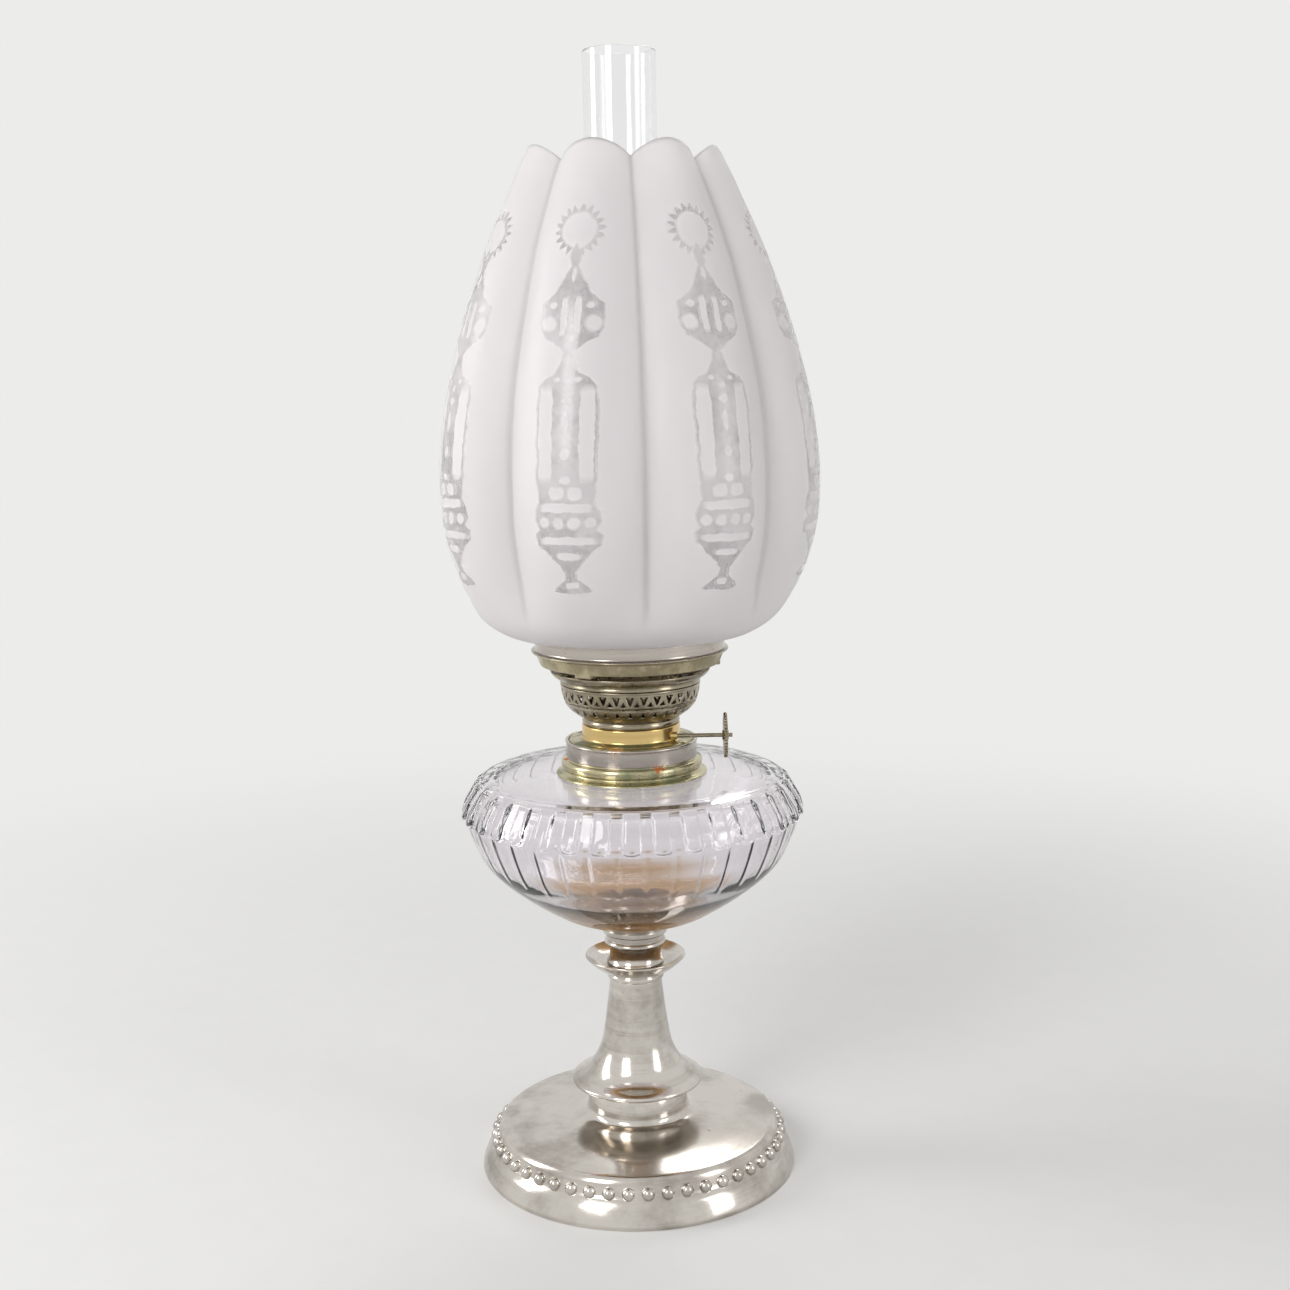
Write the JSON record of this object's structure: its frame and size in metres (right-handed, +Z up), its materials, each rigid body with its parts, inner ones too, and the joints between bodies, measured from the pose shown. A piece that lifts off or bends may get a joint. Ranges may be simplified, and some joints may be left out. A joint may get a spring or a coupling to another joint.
{
  "type": "paraffin table lamp",
  "caption": "Tall paraffin table lamp: turned plated foot, fluted glass font, round-wick burner, glass chimney and lobed frosted shade.",
  "frame": {"origin": "middle of the foot's underside, on the table", "axes": "+Z up along the lamp's axis, +X along the wick winder's shaft towards its thumb wheel, -Y is the front"},
  "size_m": [0.1978, 0.1978, 0.59],
  "materials": {
    "silver_plate": "worn silver plate",
    "steel": "plain steel",
    "clear_glass": "clear",
    "frosted_glass": "frosted",
    "aged_brass": "aged, patinated",
    "bright_brass": "bright lacquered",
    "burner_metal": "worn nickel on brass",
    "wick_cotton": "woven cotton"
  },
  "bodies": {
    "lamp": {"foot_shell": "silver_plate", "clamp_plate": "steel", "tie_rod": "steel", "tie_nut": "steel", "stem_column": "silver_plate", "drip_dish": "silver_plate", "neck_spool": "silver_plate", "font_cup": "silver_plate", "font_glass": "clear_glass", "collar": "aged_brass"},
    "burner": {"burner_base": "bright_brass", "outer_tube": "burner_metal", "inner_air_tube": "burner_metal", "air_basket": "burner_metal", "winder_sleeve": "bright_brass", "winder_bracket": "burner_metal"},
    "winder": {"winder_shaft": "steel", "inner_sprocket": "burner_metal", "outer_sprocket": "burner_metal", "thumb_wheel": "burner_metal"},
    "wick": {"wick": "wick_cotton"},
    "gallery": {"gallery": "burner_metal", "spring_crown": "burner_metal"},
    "chimney": {"chimney": "clear_glass"},
    "shade_ring": {"shade_ring": "burner_metal"},
    "shade": {"shade": "frosted_glass"}
  },
  "joints": [
    {"name": "burner_lift", "type": "slide", "parent": "lamp", "child": "burner", "axis": [0, 0, 1], "range_m": [0, 0.2]},
    {"name": "winder_spin", "type": "hinge", "parent": "burner", "child": "winder", "pos_m": [0, -0.014, 0.2412], "axis": [1, 0, 0], "range_deg": [-114, 143]},
    {"name": "wick_travel", "type": "slide", "parent": "burner", "child": "wick", "axis": [0, 0, 1], "range_m": [-0.008, 0.01]},
    {"name": "gallery_lift", "type": "slide", "parent": "burner", "child": "gallery", "axis": [0, 0, 1], "range_m": [0, 0.06]},
    {"name": "chimney_lift", "type": "slide", "parent": "gallery", "child": "chimney", "axis": [0, 0, 1], "range_m": [0, 0.3]},
    {"name": "ring_lift", "type": "slide", "parent": "gallery", "child": "shade_ring", "axis": [0, 0, 1], "range_m": [0, 0.32]},
    {"name": "shade_lift", "type": "slide", "parent": "shade_ring", "child": "shade", "axis": [0, 0, 1], "range_m": [0, 0.32]}
  ],
  "couplings": [
    {"joint": "wick_travel", "follows": "winder_spin", "m_per_rad": 0.004}
  ]
}
